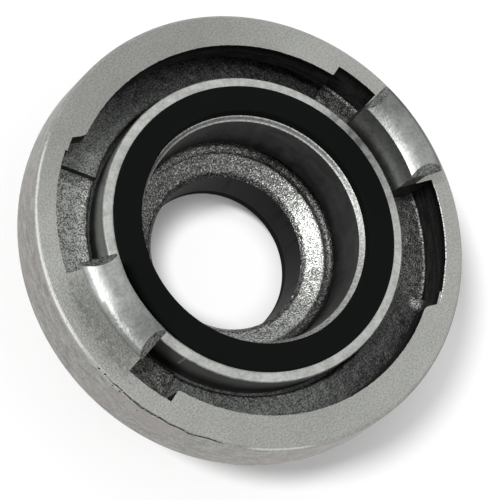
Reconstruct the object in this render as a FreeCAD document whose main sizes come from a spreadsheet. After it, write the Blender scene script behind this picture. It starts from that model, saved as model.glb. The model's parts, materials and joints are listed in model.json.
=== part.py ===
import FreeCAD, Part
import itertools
import math
import os
import Sketcher

# A reducing adapter between two sizes of claw hose coupling: one casting with a
# coupling head at each end, turned out for the water, and a rubber seal in each head.
# It stands on the claws of the small head. +Z is the axis, towards the large head,
# and the claws lie on the X axis. Lengths are in millimetres, angles in degrees.

# What both heads share: the waist between the rims and the waterway, from the large bore down.
BODY_SIZES = {
    "waist_length": 7.0,
    "waist_wall": 5.65,
    "waist_corner": 2.5,
    "bore_step": 1.3,
    "bore_depth": 22.3,
    "bore_bulge": 0.81,
    "shoulder_width": 2.85,
    "shoulder_drop": 2.2,
    "neck_lip_width": 1.1,
    "neck_lip_drop": 2.1,
    "neck_drop": 1.4,
    "neck_step": 0.1,
    "fit_clearance": 0.05,
}

# Each head, from the seal outwards: radii follow from the seal's inside and the widths
# round it, and depths are measured from the flat face. A bulge is the height of an arc
# over the straight line between its ends.
LARGE_HEAD = {
    "seal_radius": 33.65,
    "seal_width": 7.8,
    "tube_wall": 2.85,
    "groove_width": 1.3,
    "throat_width": 7.9,
    "flange_overhang": 3.7,
    "rim_wall": 5.8,
    "rim_flare": 1.5,
    "rim_bevel": 0.9,
    "rim_back_round": 5.5,
    "rim_floor": 4.0,
    "tube_depth": 1.74,
    "tube_bevel": 0.3,
    "seal_thickness": 3.39,
    "seal_proud": 0.98,
    "seal_bevel": 0.35,
    "snap_width": 0.9,
    "snap_height": 1.6,
    "claw_width": 5.7,
    "claw_edge_height": 9.0,
    "claw_rise": 0.8,
    "claw_dome_bulge": 1.27,
    "claw_nose_height": 1.6,
    "claw_nose_bulge": 0.49,
    "claw_nose_lean": 0.3,
    "claw_hook_reach": 4.2,
    "claw_hook_slope": 0.85,
    "claw_hook_round": 1.6,
    "claw_root_round": 1.0,
    "claw_half_angle": 15.2,
    "claw_facet_drop": 0.5,
    "claw_facet_slope": 42.0,
    "small_window_angle": 28.8,
    "small_step_slant": 0.2,
    "small_lip_slant": 0.4,
    "small_lip_round": 0.6,
    "large_window_angle": 49.9,
    "large_edge_slant": 4.2,
    "large_edge_step": 0.6,
    "large_lip_slant": 2.5,
    "large_lip_round": 2.2,
    "flange_thickness": 6.3,
    "channel_height": 4.0,
    "channel_fall": 4.4,
    "clamp_fall": 2.3,
    "lead_rise": 2.1,
    "lead_fall": 2.8,
    "lead_angle": 16.0,
    "lead_overrun": 1.0,
    "wall_step": 0.2,
    "window_drop": 2.7,
    "groove_drop": 1.8,
    "floor_round": 0.9,
    "floor_lip": 0.5,
}

SMALL_HEAD = {
    "seal_radius": 23.5,
    "seal_width": 7.3,
    "tube_wall": 2.2,
    "groove_width": 1.1,
    "throat_width": 6.3,
    "flange_overhang": 3.2,
    "rim_wall": 5.4,
    "rim_flare": 1.2,
    "rim_bevel": 0.7,
    "rim_back_round": 4.5,
    "rim_floor": 3.3,
    "tube_depth": 1.8,
    "tube_bevel": 0.3,
    "seal_thickness": 3.5,
    "seal_proud": 0.9,
    "seal_bevel": 0.35,
    "snap_width": 0.8,
    "snap_height": 1.6,
    "claw_width": 4.5,
    "claw_edge_height": 8.2,
    "claw_rise": 0.6,
    "claw_dome_bulge": 1.02,
    "claw_nose_height": 1.5,
    "claw_nose_bulge": 0.43,
    "claw_nose_lean": 0.25,
    "claw_hook_reach": 3.45,
    "claw_hook_slope": 0.65,
    "claw_hook_round": 1.4,
    "claw_root_round": 0.9,
    "claw_half_angle": 15.2,
    "claw_facet_drop": 0.6,
    "claw_facet_slope": 42.0,
    "small_window_angle": 28.8,
    "small_step_slant": 0.2,
    "small_lip_slant": 0.5,
    "small_lip_round": 0.6,
    "large_window_angle": 49.9,
    "large_edge_slant": 4.2,
    "large_edge_step": 0.5,
    "large_lip_slant": 2.9,
    "large_lip_round": 1.9,
    "flange_thickness": 5.6,
    "channel_height": 3.5,
    "channel_fall": 3.9,
    "clamp_fall": 2.0,
    "lead_rise": 1.8,
    "lead_fall": 2.4,
    "lead_angle": 16.0,
    "lead_overrun": 1.0,
    "wall_step": 0.2,
    "window_drop": 2.4,
    "groove_drop": 1.2,
    "floor_round": 0.8,
    "floor_lip": 0.5,
}

FULL_TURN = math.degrees(math.tau)
HALF_TURN = FULL_TURN / 2
EIGHTH_TURN = FULL_TURN / 8

# how near two places or two directions are to count as the same
SAME_PLACE = 1e-3
SAME_ANGLE = 0.01

doc = FreeCAD.newDocument("reducing_adapter")
sheet = doc.addObject("Spreadsheet::Sheet", "Sizes")


class Size:
    """A size of the sheet, or a sum of sizes, with the expression that keeps it up to date."""

    def __init__(self, value, text):
        self.value = float(value)
        self.text = text

    def __add__(self, other):
        other = as_size(other)
        return Size(self.value + other.value, f"({self.text} + {other.text})")

    def __sub__(self, other):
        other = as_size(other)
        return Size(self.value - other.value, f"({self.text} - {other.text})")

    def __mul__(self, other):
        other = as_size(other)
        return Size(self.value * other.value, f"({self.text} * {other.text})")

    def __truediv__(self, other):
        other = as_size(other)
        return Size(self.value / other.value, f"({self.text} / {other.text})")

    def __rsub__(self, other):
        return as_size(other) - self

    def __neg__(self):
        return as_size(0) - self

    __radd__ = __add__
    __rmul__ = __mul__


def as_size(number):
    return number if isinstance(number, Size) else Size(number, f"{number}")


def cosine(angle):
    return Size(math.cos(math.radians(angle.value)), f"cos({angle.text})")


def sine(angle):
    return Size(math.sin(math.radians(angle.value)), f"sin({angle.text})")


def tangent(angle):
    return Size(math.tan(math.radians(angle.value)), f"tan({angle.text})")


def root(area):
    return Size(math.sqrt(area.value), f"sqrt({area.text})")


sheet_rows = itertools.count(1)


def enter_sizes(prefix, sizes):
    """Writes the sizes into the sheet, one a row, and gives them back by name."""
    bound = {}
    for name, number in sizes.items():
        row = next(sheet_rows)
        alias = prefix + name
        sheet.set(f"A{row}", alias)
        sheet.set(f"B{row}", str(number))
        sheet.setAlias(f"B{row}", alias)
        bound[name] = Size(number, f"{sheet.Name}.{alias}")
    return bound


class Head:
    """One coupling head: its sizes, the height of its flat face and the way it faces."""

    def __init__(self, name, sizes, outward):
        self.name = name
        self.outward = outward
        for size_name, size in enter_sizes(name + "_", sizes).items():
            setattr(self, size_name, size)
        self.seat_radius = self.seal_radius + self.seal_width
        self.tube_radius = self.seat_radius + self.tube_wall
        self.groove_radius = self.tube_radius + self.groove_width
        self.beside_tube = self.tube_radius + self.groove_width / 2
        self.flange_radius = self.groove_radius + self.throat_width
        self.window_radius = self.flange_radius + self.flange_overhang
        self.rim_radius = self.window_radius + self.rim_wall
        self.seal_depth = self.tube_depth - self.seal_proud
        self.seat_depth = self.seal_depth + self.seal_thickness
        self.channel_depth = self.flange_thickness + self.channel_height
        self.window_depth = self.channel_depth + self.window_drop
        self.groove_depth = self.channel_depth + self.channel_fall + self.groove_drop
        self.rim_height = self.groove_depth + self.rim_floor
        self.small_lip_angle = self.small_window_angle + self.small_lip_slant
        self.large_edge_angle = self.large_window_angle + self.large_edge_slant
        self.large_lip_angle = self.large_edge_angle + self.large_lip_slant

    def height(self, above_face):
        """Height in the part of a point so far out of the flat face."""
        return self.face + as_size(above_face) * self.outward

    def azimuth(self, angle):
        """The small head is the large one turned over about the X axis."""
        return as_size(angle) * self.outward

    def half_turn_less(self, angle):
        return self.azimuth(HALF_TURN - angle)


body_sizes = enter_sizes("", BODY_SIZES)
large = Head("large", LARGE_HEAD, 1)
small = Head("small", SMALL_HEAD, -1)
doc.recompute()


def arc_radius(across, rise, bulge):
    """Radius of the arc whose ends lie so far apart and which bulges so far over their line."""
    return ((across * across + rise * rise) / 4 + bulge * bulge) / (bulge * 2)


def crest(head):
    """Height of the claw's dome over the flat face."""
    across = head.claw_width + head.claw_hook_reach - head.claw_nose_lean
    rise = head.claw_rise
    bulge = head.claw_dome_bulge
    radius = arc_radius(across, rise, bulge)
    chord = root(across * across + rise * rise)
    return head.claw_edge_height + rise / 2 - (radius - bulge) * across / chord + radius


small.face = crest(small)
large.face = small.face + small.rim_height + body_sizes["waist_length"] + large.rim_height


def origin_feature(body, role):
    return next(feature for feature in body.Origin.OriginFeatures if feature.Role == role)


def new_body(label):
    body = doc.addObject("PartDesign::Body", label)
    body.Label = label
    return body


def new_sketch(body, name, plane):
    sketch = body.newObject("Sketcher::SketchObject", name)
    sketch.AttachmentSupport = [(origin_feature(body, plane), "")]
    sketch.MapMode = "FlatFace"
    return sketch


def turn_sketch(sketch, angle):
    """Turns an upright sketch about the axis of the part."""
    upright = FreeCAD.Vector(0, 1, 0)
    sketch.AttachmentOffset = FreeCAD.Placement(FreeCAD.Vector(), FreeCAD.Rotation(upright, angle.value))
    sketch.setExpression("AttachmentOffset.Rotation.Angle", angle.text)


def constrain(sketch, kind, *where, size=None):
    """Adds a constraint, bound to the sheet where it has a size."""
    if size is None:
        sketch.addConstraint(Sketcher.Constraint(kind, *where))
        return
    index = sketch.addConstraint(Sketcher.Constraint(kind, *where, size.value))
    sketch.setExpression(f"Constraints[{index}]", size.text)


# how a sketch numbers the points of its geometry
ORIGIN_POINT = (-1, 1)
START, END, CENTRE = 1, 2, 3


def arc_between(start, end, bulge):
    """Arc from start to end, whose ends are kept in that order where it turns left."""
    chord = end - start
    right = FreeCAD.Vector(chord.y, -chord.x, 0).normalize()
    middle = (start + end) / 2 + right * bulge
    circle = Part.Circle(start, middle, end)
    circle.Axis = FreeCAD.Vector(0, 0, 1)
    first, last = (start, end) if bulge > 0 else (end, start)
    return Part.ArcOfCircle(circle, circle.parameter(first), circle.parameter(last))


def quarter(radius):
    """Bulge of a quarter circle."""
    return radius * (1 - cosine(as_size(EIGHTH_TURN)))


def section(body, name, corners, plane="XZ_Plane"):
    """Closed outline on an upright plane, of (across, height) corners.

    A third value bends the side that leads to the corner: its bulge, positive where the
    side turns left on its way.
    """
    sketch = new_sketch(body, name, plane)
    points = [FreeCAD.Vector(corner[0].value, corner[1].value, 0) for corner in corners]
    ends = []
    for index, corner in enumerate(corners):
        start, end = points[index - 1], points[index]
        if len(corner) == 3:
            bulge = corner[2].value
            side = sketch.addGeometry(arc_between(start, end, bulge))
            ends.append((side, START, END) if bulge > 0 else (side, END, START))
        else:
            side = sketch.addGeometry(Part.LineSegment(start, end))
            ends.append((side, START, END))
    for index, corner in enumerate(corners):
        side, _, last = ends[index]
        following, first, _ = ends[(index + 1) % len(corners)]
        constrain(sketch, "Coincident", side, last, following, first)
        constrain(sketch, "DistanceX", *ORIGIN_POINT, side, last, size=corner[0])
        constrain(sketch, "DistanceY", *ORIGIN_POINT, side, last, size=corner[1])
        if len(corner) == 3:
            before, bulge = corners[index - 1], corner[2]
            radius = arc_radius(corner[0] - before[0], corner[1] - before[1], bulge)
            constrain(sketch, "Radius", side, size=radius if bulge.value > 0 else -radius)
    return sketch


def polar(radius, angle):
    return radius * cosine(angle), radius * sine(angle)


def plan(body, name, height, corners):
    """Closed outline on a level plane, of (radius, angle) corners.

    Corners of one radius in a row are joined by an arc about the axis, others by a straight side.
    """
    sketch = new_sketch(body, name, "XY_Plane")
    sketch.AttachmentOffset = FreeCAD.Placement(FreeCAD.Vector(0, 0, height.value), FreeCAD.Rotation())
    sketch.setExpression("AttachmentOffset.Base.z", height.text)
    places = [polar(*corner) for corner in corners]
    points = [FreeCAD.Vector(x.value, y.value, 0) for x, y in places]
    ends = []
    for index, (radius, angle) in enumerate(corners):
        before_radius, before_angle = corners[index - 1]
        if before_radius is radius:
            circle = Part.Circle(FreeCAD.Vector(), FreeCAD.Vector(0, 0, 1), radius.value)
            angles = sorted((math.radians(before_angle.value), math.radians(angle.value)))
            side = sketch.addGeometry(Part.ArcOfCircle(circle, *angles))
            forward = before_angle.value < angle.value
            ends.append((side, START, END) if forward else (side, END, START))
            constrain(sketch, "Coincident", side, CENTRE, *ORIGIN_POINT)
            constrain(sketch, "Radius", side, size=radius)
        else:
            side = sketch.addGeometry(Part.LineSegment(points[index - 1], points[index]))
            ends.append((side, START, END))
    for index, (radius, angle) in enumerate(corners):
        side, _, last = ends[index]
        following, first, _ = ends[(index + 1) % len(corners)]
        constrain(sketch, "Coincident", side, last, following, first)
        # a corner on an arc is held by its radius and by the coordinate that changes more along it
        x, y = places[index]
        on_arc = corners[index - 1][0] is radius or corners[(index + 1) % len(corners)][0] is radius
        steep = abs(y.value) > abs(x.value)
        if steep or not on_arc:
            constrain(sketch, "DistanceX", *ORIGIN_POINT, side, last, size=x)
        if not steep or not on_arc:
            constrain(sketch, "DistanceY", *ORIGIN_POINT, side, last, size=y)
    return sketch


def volume_before(body):
    return body.Tip.Shape.Volume if body.Tip else 0.0


def finish_feature(feature, before, adds):
    """Builds the feature and makes sure that it changed the solid the right way."""
    doc.recompute()
    change = feature.Shape.Volume - before
    if not feature.Shape.isValid() or (change > 0) != adds:
        raise ValueError(f"{feature.Label} changed the volume by {change:.1f}")
    return feature


def revolve(body, name, sketch, kind="Revolution", angle=None):
    """Turns a section about the axis: all the way round, or an angle to both sides of its plane."""
    before = volume_before(body)
    feature = body.newObject("PartDesign::" + kind, name)
    feature.Profile = sketch
    feature.ReferenceAxis = (origin_feature(body, "Z_Axis"), [""])
    if angle is None:
        feature.Angle = FULL_TURN
    else:
        feature.Midplane = True
        feature.Angle = angle.value
        feature.setExpression("Angle", angle.text)
    return finish_feature(feature, before, adds=kind == "Revolution")


def pocket(body, name, sketch, depth, reverse):
    before = volume_before(body)
    feature = body.newObject("PartDesign::Pocket", name)
    feature.Profile = sketch
    feature.Length = depth.value
    feature.setExpression("Length", depth.text)
    feature.Reversed = reverse
    return finish_feature(feature, before, adds=False)


def helical_cut(body, name, sketch, fall, span, downwards):
    """Sweeps a section down a right-handed helix that falls so far over the span of angle."""
    before = volume_before(body)
    feature = body.newObject("PartDesign::SubtractiveHelix", name)
    feature.Profile = sketch
    feature.ReferenceAxis = (origin_feature(body, "Z_Axis"), [""])
    feature.Mode = "pitch-height-angle"
    pitch = fall * FULL_TURN / span
    feature.Pitch = pitch.value
    feature.setExpression("Pitch", pitch.text)
    feature.Height = fall.value
    feature.setExpression("Height", fall.text)
    feature.Reversed = downwards
    return finish_feature(feature, before, adds=False)


def opposite_pair(body, name, originals):
    """Repeats features on the other side of the axis."""
    before = volume_before(body)
    pattern = body.newObject("PartDesign::PolarPattern", name)
    pattern.Originals = originals
    pattern.Axis = (origin_feature(body, "Z_Axis"), [""])
    pattern.Angle = FULL_TURN
    pattern.Occurrences = 2
    body.Tip = pattern
    adds = originals[0].isDerivedFrom("PartDesign::Revolution")
    return finish_feature(pattern, before, adds)


def rounded(body, name, radius, picks):
    """Fillets the edges of the solid that the test picks."""
    base = body.Tip
    names = [f"Edge{number}" for number, edge in enumerate(base.Shape.Edges, 1) if picks(edge)]
    if not names:
        raise ValueError(f"{name} found no edge")
    fillet = body.newObject("PartDesign::Fillet", name)
    fillet.Base = (base, names)
    fillet.Radius = radius.value
    fillet.setExpression("Radius", radius.text)
    doc.recompute()
    return fillet


def casting(body):
    """Outside of the two heads and the waist between them, turned about the axis."""
    top = large
    low = small
    waist = large.seal_radius - body_sizes["bore_step"] + body_sizes["waist_wall"]
    corner = body_sizes["waist_corner"]
    top_widest = top.rim_radius + top.rim_flare
    low_widest = low.rim_radius + low.rim_flare
    axis = as_size(0)
    sketch = section(body, "casting_section", [
        (axis, top.height(0)),
        (axis, low.height(0)),
        (low.rim_radius - low.rim_bevel, low.height(0)),
        (low.rim_radius, low.height(-low.rim_bevel)),
        (low_widest, low.height(low.rim_back_round - low.rim_height)),
        (low_widest - low.rim_back_round, low.height(-low.rim_height), quarter(low.rim_back_round)),
        (waist + corner, low.height(-low.rim_height)),
        (waist, low.height(-low.rim_height - corner)),
        (waist, top.height(-top.rim_height - corner)),
        (waist + corner, top.height(-top.rim_height)),
        (top_widest - top.rim_back_round, top.height(-top.rim_height)),
        (top_widest, top.height(top.rim_back_round - top.rim_height), quarter(top.rim_back_round)),
        (top.rim_radius, top.height(-top.rim_bevel)),
        (top.rim_radius - top.rim_bevel, top.height(0)),
    ])
    revolve(body, "casting", sketch)


def waterway(body):
    """The turned bore, the cast shoulder below it and the narrow neck."""
    bore = large.seal_radius - body_sizes["bore_step"]
    bore_depth = body_sizes["bore_depth"]
    shoulder = bore - body_sizes["shoulder_width"]
    shoulder_depth = bore_depth + body_sizes["shoulder_drop"]
    neck = small.seal_radius - body_sizes["neck_step"]
    neck_lip = neck + body_sizes["neck_lip_width"]
    neck_lip_depth = shoulder_depth + body_sizes["neck_lip_drop"]
    neck_depth = neck_lip_depth + body_sizes["neck_drop"]
    axis = as_size(0)
    sketch = section(body, "waterway_section", [
        (axis, large.height(0)),
        (axis, small.height(0)),
        (neck, small.height(0)),
        (neck, large.height(-neck_depth)),
        (neck_lip, large.height(-neck_lip_depth)),
        (shoulder, large.height(-shoulder_depth)),
        (bore, large.height(-bore_depth), body_sizes["bore_bulge"]),
        (bore, large.height(-large.seat_depth - body_sizes["bore_step"])),
        (large.seal_radius, large.height(-large.seat_depth)),
        (large.seal_radius, large.height(0)),
    ])
    revolve(body, "waterway", sketch, "Groove")


def turned_face(body, head):
    """The tube's end turned back below the flat face, with the undercut seat of the seal in it."""
    axis = as_size(0)
    beside = head.beside_tube
    snap = head.seat_radius + head.snap_width
    sketch = section(body, head.name + "_seat_section", [
        (axis, head.height(0)),
        (beside, head.height(0)),
        (beside, head.height(-head.tube_depth)),
        (head.seat_radius, head.height(-head.tube_depth)),
        (head.seat_radius, head.height(head.snap_height - head.seat_depth)),
        (snap, head.height(head.snap_height - head.seat_depth)),
        (snap, head.height(-head.seat_depth)),
        (axis, head.height(-head.seat_depth)),
    ])
    revolve(body, head.name + "_seat", sketch, "Groove")
    sketch = section(body, head.name + "_groove_section", [
        (head.tube_radius - head.tube_bevel, head.height(-head.tube_depth)),
        (head.tube_radius, head.height(-head.tube_depth - head.tube_bevel)),
        (head.tube_radius, head.height(-head.groove_depth)),
        (head.groove_radius, head.height(-head.groove_depth)),
        (head.groove_radius, head.height(0)),
        (head.tube_radius - head.tube_bevel, head.height(0)),
    ])
    revolve(body, head.name + "_groove", sketch, "Groove")


def window_section(body, name, head):
    """Section of a window: its floor has a broken edge at the groove and a round at the outer wall."""
    lip = head.floor_lip
    corner = head.floor_round
    bottom = head.window_depth
    return section(body, name, [
        (head.beside_tube, head.height(-bottom - lip)),
        (head.groove_radius, head.height(-bottom - lip)),
        (head.groove_radius + lip, head.height(-bottom)),
        (head.window_radius - corner, head.height(-bottom)),
        (head.window_radius, head.height(corner - bottom), quarter(corner) * head.outward),
        (head.window_radius, head.height(0)),
        (head.beside_tube, head.height(0)),
    ])


def windows(body, head):
    """The open ring between tube and rim, wide at the two windows, with their level floors.

    Past the large window's floor its outer wall steps in a little, up to the flange's end.
    """
    inside = head.beside_tube
    outside = head.window_radius
    stepped_in = outside - head.large_edge_step
    flange = head.flange_radius
    claw = head.azimuth(head.claw_half_angle)
    next_claw = head.half_turn_less(head.claw_half_angle)
    small_end = head.azimuth(head.small_window_angle)
    large_end = head.half_turn_less(head.large_window_angle)
    opening = plan(body, head.name + "_opening_plan", head.height(0), [
        (inside, next_claw),
        (inside, claw),
        (outside, claw),
        (outside, small_end),
        (flange, head.azimuth(head.small_lip_angle)),
        (flange, head.half_turn_less(head.large_lip_angle)),
        (stepped_in, head.half_turn_less(head.large_edge_angle)),
        (stepped_in, large_end),
        (outside, large_end),
        (outside, next_claw),
    ])
    # deep enough to meet the helical channel all along, and short of its floor
    throat = head.channel_depth - head.floor_lip / 2
    cuts = [pocket(body, head.name + "_opening", opening, throat, reverse=head.outward < 0)]
    for name, first, last in (("small", claw, small_end), ("large", large_end, next_claw)):
        floor = window_section(body, f"{head.name}_{name}_window_section", head)
        turn_sketch(floor, (first + last) / 2)
        span = (last - first) * head.outward
        cuts.append(revolve(body, f"{head.name}_{name}_window", floor, "Groove", span))
    return cuts


def ramps(body, head):
    """The channel under the flange: its falling floor, the clamping ramp over it and the lead-in.

    Each starts inside the large window, at the same slope as it has under the flange, and
    overlaps the cut below it all along.
    """
    start = head.large_window_angle - head.lead_overrun
    whole = HALF_TURN - start - head.small_window_angle + head.small_step_slant
    lead = head.lead_angle + head.lead_overrun
    lip = head.floor_lip
    inside = head.beside_tube
    cuts = []

    def cut(name, corners, fall, span):
        sketch = section(body, f"{head.name}_{name}_section", corners)
        turn_sketch(sketch, head.half_turn_less(start))
        cuts.append(helical_cut(body, f"{head.name}_{name}", sketch, fall, span, head.outward > 0))

    cut("channel", [
        (inside, head.height(-head.channel_depth - lip)),
        (head.groove_radius, head.height(-head.channel_depth - lip)),
        (head.groove_radius + lip, head.height(-head.channel_depth)),
        (head.window_radius, head.height(-head.channel_depth)),
        (head.window_radius, head.height(-head.flange_thickness - lip)),
        (inside, head.height(-head.flange_thickness - lip)),
    ], head.channel_fall, whole)
    lead_top = head.flange_thickness - head.lead_rise
    lead_bottom = head.flange_thickness + lip * 2
    clamp_wall = head.window_radius - head.wall_step
    for name, top, bottom, out, fall, span in (
        ("clamp", head.flange_thickness, head.channel_depth - lip, clamp_wall, head.clamp_fall, whole),
        ("lead", lead_top, lead_bottom, clamp_wall - head.wall_step, head.lead_fall, lead),
    ):
        cut(name, [
            (inside, head.height(-bottom)),
            (out, head.height(-bottom)),
            (out, head.height(-top)),
            (inside, head.height(-top)),
        ], fall, span)
    return cuts


def claw(body, head):
    """One claw: a hooked section turned a short way about the axis."""
    bend = head.outward
    sunk = head.rim_bevel
    inside = head.groove_radius
    neck = inside + head.claw_width
    root_round = head.claw_root_round
    hook_round = head.claw_hook_round
    lip = neck + head.claw_hook_reach
    shoulder_height = head.claw_edge_height + head.claw_rise
    lip_height = shoulder_height - head.claw_nose_height
    hook_height = lip_height - head.claw_hook_slope
    sketch = section(body, head.name + "_claw_section", [
        (inside, head.height(-sunk)),
        (inside, head.height(head.claw_edge_height)),
        (lip - head.claw_nose_lean, head.height(shoulder_height), -head.claw_dome_bulge * bend),
        (lip, head.height(lip_height), -head.claw_nose_bulge * bend),
        (neck + hook_round, head.height(hook_height)),
        (neck, head.height(hook_height - hook_round), quarter(hook_round) * bend),
        (neck, head.height(root_round)),
        (neck + root_round, head.height(0), quarter(root_round) * bend),
        (neck + root_round, head.height(-sunk)),
    ])
    return revolve(body, head.name + "_claw", sketch, angle=head.claw_half_angle * 2)


def claw_facets(body, head):
    """The sloping facet at each end of a claw, level where it meets the end face."""
    facets = []
    reach = head.rim_radius
    start = head.claw_edge_height - head.claw_facet_drop
    rise = head.claw_edge_height
    low = head.height(start)
    high = head.height(start + rise)
    run = rise / tangent(head.claw_facet_slope)
    for name, side in (("first", 1), ("last", -1)):
        sketch = section(body, f"{head.name}_{name}_facet_section", [
            (as_size(0), low),
            (as_size(0), high),
            (run * -side, high),
        ], plane="YZ_Plane")
        turn_sketch(sketch, head.claw_half_angle * side)
        facets.append(pocket(body, f"{head.name}_{name}_facet", sketch, reach, reverse=True))
    return facets


def upright_at(head, radius, angle):
    """Tells the head's upright edges at a radius and angle, and at the same place across the axis."""
    low, high = sorted((head.height(0).value, head.height(-head.groove_depth).value))

    def picks(edge):
        first, last = edge.firstVertex().Point, edge.lastVertex().Point
        upright = math.hypot(first.x - last.x, first.y - last.y) < SAME_PLACE
        at_radius = abs(math.hypot(first.x, first.y) - radius.value) < SAME_PLACE
        turn = math.degrees(math.atan2(first.y, first.x)) - angle.value
        off = (turn + HALF_TURN / 2) % HALF_TURN - HALF_TURN / 2
        in_head = low < (first.z + last.z) / 2 < high
        return upright and at_radius and abs(off) < SAME_ANGLE and in_head
    return picks


def flange_rounds(body, head):
    """The rounded corners of the flange where a window ends."""
    lips = (
        ("small_lip", head.small_lip_round, head.azimuth(head.small_lip_angle)),
        ("large_lip", head.large_lip_round, head.half_turn_less(head.large_lip_angle)),
    )
    for name, radius, angle in lips:
        rounded(body, f"{head.name}_{name}", radius, upright_at(head, head.flange_radius, angle))


def adapter_body():
    """The whole casting: both heads in one piece."""
    body = new_body("adapter_body")
    casting(body)
    waterway(body)
    for head in (large, small):
        turned_face(body, head)
        cuts = windows(body, head) + ramps(body, head)
        opposite_pair(body, head.name + "_openings", cuts)
        first = claw(body, head)
        facets = claw_facets(body, head)
        opposite_pair(body, head.name + "_claws", [first] + facets)
        flange_rounds(body, head)
    return body


def seal(label, head):
    """Rubber ring that snaps into the undercut and stands proud of the tube's end."""
    body = new_body(label)
    gap = body_sizes["fit_clearance"]
    outside = head.seat_radius - gap
    foot = outside + head.snap_width
    foot_top = head.snap_height - head.seat_depth - gap
    edge = head.seal_bevel
    sketch = section(body, label + "_section", [
        (head.seal_radius, head.height(-head.seat_depth)),
        (foot, head.height(-head.seat_depth)),
        (foot, head.height(foot_top)),
        (outside, head.height(foot_top)),
        (outside, head.height(-head.seal_depth - edge)),
        (outside - edge, head.height(-head.seal_depth)),
        (head.seal_radius + edge, head.height(-head.seal_depth)),
        (head.seal_radius, head.height(-head.seal_depth - edge)),
    ])
    revolve(body, label + "_ring", sketch)
    return body


def check(bodies):
    """Stops before anything is written if a feature or a solid is not sound."""
    doc.recompute()
    for item in doc.Objects:
        if "Invalid" in item.State or "Error" in item.State:
            raise ValueError(f"{item.Label} failed: {item.State}")
    for body in bodies:
        if body.Shape.isNull() or not body.Shape.isValid() or len(body.Shape.Solids) != 1:
            raise ValueError(f"{body.Label} is not one sound solid")


bodies = [adapter_body(), seal("large_seal", large), seal("small_seal", small)]
check(bodies)
os.makedirs("parts", exist_ok=True)
for body in bodies:
    body.Shape.exportStep(f"parts/{body.Label}.step")
    box = body.Shape.BoundBox
    print(f"{body.Label}: {body.Shape.Volume / 1000:.1f} cm3, height {box.ZMin:.2f} to {box.ZMax:.2f}")
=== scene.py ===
import json
import math

import bmesh
import bpy
from bpy.props import FloatProperty, FloatVectorProperty, PointerProperty
from mathutils import Matrix, Vector, noise


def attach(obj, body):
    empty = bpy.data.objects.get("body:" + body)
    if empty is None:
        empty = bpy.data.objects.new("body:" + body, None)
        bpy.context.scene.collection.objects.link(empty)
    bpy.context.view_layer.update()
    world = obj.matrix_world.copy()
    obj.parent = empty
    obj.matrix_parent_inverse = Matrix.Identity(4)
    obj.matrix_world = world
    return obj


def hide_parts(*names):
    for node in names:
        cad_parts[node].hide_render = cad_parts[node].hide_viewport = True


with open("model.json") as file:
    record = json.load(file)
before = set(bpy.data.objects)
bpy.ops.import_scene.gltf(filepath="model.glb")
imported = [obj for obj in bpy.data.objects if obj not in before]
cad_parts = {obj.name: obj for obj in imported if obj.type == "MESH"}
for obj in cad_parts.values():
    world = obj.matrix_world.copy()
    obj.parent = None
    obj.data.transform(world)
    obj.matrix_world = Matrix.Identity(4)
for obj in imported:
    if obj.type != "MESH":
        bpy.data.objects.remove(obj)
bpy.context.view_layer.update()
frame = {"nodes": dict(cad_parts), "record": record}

bl_info = {
    "name": "Reducing hose adapter",
    "version": (1, 0),
    "blender": (4, 5, 0),
    "location": "View3D > Sidebar > Adapter",
    "description": "Dresses the reducing adapter in its finishes and sets its stage",
    "category": "Object",
}

MM = 0.001
MOUNTS = {mount["name"]: mount for mount in frame["record"]["mounts"]}
LARGE_FACE = MOUNTS["large_face"]["pos_m"][2] / MM
SMALL_FACE = MOUNTS["small_face"]["pos_m"][2] / MM
NECK_RADIUS = MOUNTS["waterway"]["dims"]["r_mm"]
BODY = "root"
BLACK = (0, 0, 0)
WHITE = (1, 1, 1)
# vertices nearer than this are one
WELD = 1e-6


def length(name, description, default):
    """A size in millimetres."""
    return FloatProperty(name=name, description=description, default=default, precision=2)


def angle(name, description, degrees):
    """An angle, whose default is given in degrees."""
    return FloatProperty(name=name, description=description, default=math.radians(degrees), subtype="ANGLE")


def colour(name, description, *default):
    """A colour, whose default is its red, green and blue."""
    return FloatVectorProperty(name=name, description=description, default=default, subtype="COLOR", size=3)


def share(name, description, default):
    """A share between 0 and 1."""
    return FloatProperty(name=name, description=description, default=default, min=0, max=1, subtype="FACTOR")


class LargeHeadSizes(bpy.types.PropertyGroup):
    outward: FloatProperty(name="Outward", description="Way that the head faces along the axis", default=1)
    face: length("Face", "Height of the flat face", LARGE_FACE)
    window: length("Window", "Radius of the windows' outer wall", 57.2)
    groove: length("Groove", "Outer radius of the groove round the tube", 45.6)
    tube: length("Tube", "Outer radius of the tube", 44.3)
    tube_depth: length("Tube depth", "How far the tube's end lies below the flat face", 1.74)
    window_depth: length("Window depth", "Depth of the windows' floors", 13.0)
    channel_end: length("Channel end", "Depth of the channel's floor where it ends", 14.7)
    lip: length("Lip", "Outer radius of the claws", 55.5)
    rim: length("Rim", "Radius of the flat face with its bevel", 63.0)
    bevel: length("Bevel", "Width of the bevel round the flat face", 0.9)
    seal: length("Seal", "Radius of the bore at the seal", 33.65)


class SmallHeadSizes(bpy.types.PropertyGroup):
    outward: FloatProperty(name="Outward", description="Way that the head faces along the axis", default=-1)
    face: length("Face", "Height of the flat face", SMALL_FACE)
    window: length("Window", "Radius of the windows' outer wall", 43.6)
    groove: length("Groove", "Outer radius of the groove round the tube", 34.1)
    tube: length("Tube", "Outer radius of the tube", 33.0)
    tube_depth: length("Tube depth", "How far the tube's end lies below the flat face", 1.8)
    window_depth: length("Window depth", "Depth of the windows' floors", 11.5)
    channel_end: length("Channel end", "Depth of the channel's floor where it ends", 13.0)
    rim: length("Rim", "Radius of the flat face with its bevel", 49.0)
    bevel: length("Bevel", "Width of the bevel round the flat face", 0.7)
    seal: length("Seal", "Radius of the bore at the seal", NECK_RADIUS + 0.1)


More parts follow.
